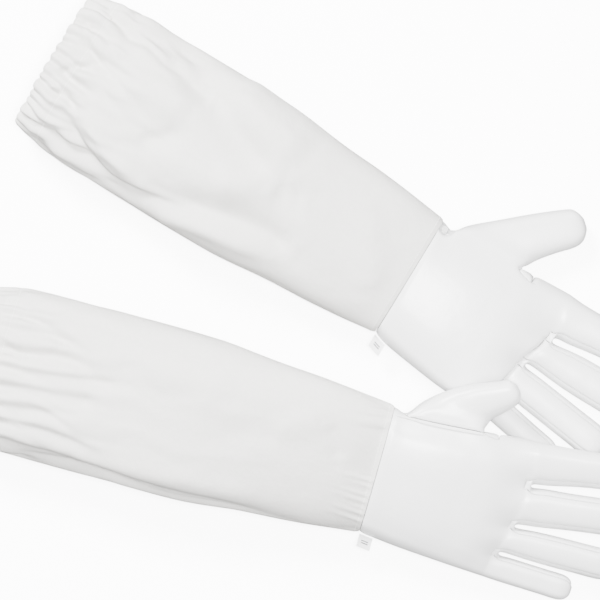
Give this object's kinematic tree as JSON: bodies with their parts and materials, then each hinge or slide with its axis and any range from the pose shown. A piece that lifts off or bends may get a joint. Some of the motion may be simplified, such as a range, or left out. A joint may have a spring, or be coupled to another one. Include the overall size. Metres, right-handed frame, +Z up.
{
  "type": "beekeeping gloves",
  "caption": "Pair of long beekeeping gloves: smooth white leather hands sewn to off-white canvas sleeves with gathered elastic cuffs, one palm up, one back up.",
  "frame": {"origin": "centre of the pair's footprint on the surface that the gloves lie on", "axes": "+Z up; +X along the gloves, from the cuffs to the fingertips; +Y towards the left glove"},
  "size_m": [0.623, 0.3894, 0.0737],
  "materials": {
    "leather": "smooth white grain leather, satin",
    "piping": "white leather bead, satin",
    "canvas": "off-white plain weave cotton canvas, matt",
    "elastic": "white woven elastic, matt",
    "tape": "white cotton tape, matt",
    "label": "white woven label, matt"
  },
  "bodies": {
    "left_hand": {"left_palm_panel": "leather", "left_back_panel": "leather", "left_middle_front": "leather", "left_ring_front": "leather", "left_thumb_gusset": "leather", "left_fourchette_index_middle": "leather", "left_fourchette_middle_ring": "leather", "left_fourchette_ring_little": "leather", "left_side_piping": "piping", "left_size_label": "label", "left_wrist_binding": "tape"},
    "left_thumb": {"left_thumb_front": "leather", "left_thumb_back": "leather"},
    "left_sleeve": {"left_sleeve": "canvas", "left_sleeve_seam": "canvas", "left_cuff_casing": "canvas", "left_cuff_elastic": "elastic", "left_wrist_elastic": "elastic"},
    "right_hand": {"right_palm_panel": "leather", "right_back_panel": "leather", "right_middle_front": "leather", "right_ring_front": "leather", "right_thumb_gusset": "leather", "right_fourchette_index_middle": "leather", "right_fourchette_middle_ring": "leather", "right_fourchette_ring_little": "leather", "right_side_piping": "piping", "right_size_label": "label", "right_wrist_binding": "tape"},
    "right_thumb": {"right_thumb_front": "leather", "right_thumb_back": "leather"},
    "right_sleeve": {"right_sleeve": "canvas", "right_sleeve_seam": "canvas", "right_cuff_casing": "canvas", "right_cuff_elastic": "elastic", "right_wrist_elastic": "elastic"}
  },
  "joints": [
    {"name": "right_glove_lift", "type": "slide", "parent": "left_hand", "child": "right_hand", "axis": [0, 0, 1], "range_m": [0, 0.25]},
    {"name": "left_wrist_fold", "type": "hinge", "parent": "left_hand", "child": "left_sleeve", "pos_m": [0.04823, 0.08157, 0.04751], "axis": [0.1392, 0.9903, 0], "range_deg": [0, 90]},
    {"name": "left_thumb_fold", "type": "hinge", "parent": "left_hand", "child": "left_thumb", "pos_m": [0.10021, 0.12804, 0.03594], "axis": [0.9952, -0.0864, -0.0466], "range_deg": [0, 45]},
    {"name": "right_wrist_fold", "type": "hinge", "parent": "right_hand", "child": "right_sleeve", "pos_m": [0.08754, -0.08023, 0.06101], "axis": [-0.1358, 0.9661, 0.2195], "range_deg": [0, 90]},
    {"name": "right_thumb_fold", "type": "hinge", "parent": "right_hand", "child": "right_thumb", "pos_m": [0.12469, -0.02123, 0.06142], "axis": [0.9809, 0.1913, -0.0347], "range_deg": [0, 35]}
  ]
}
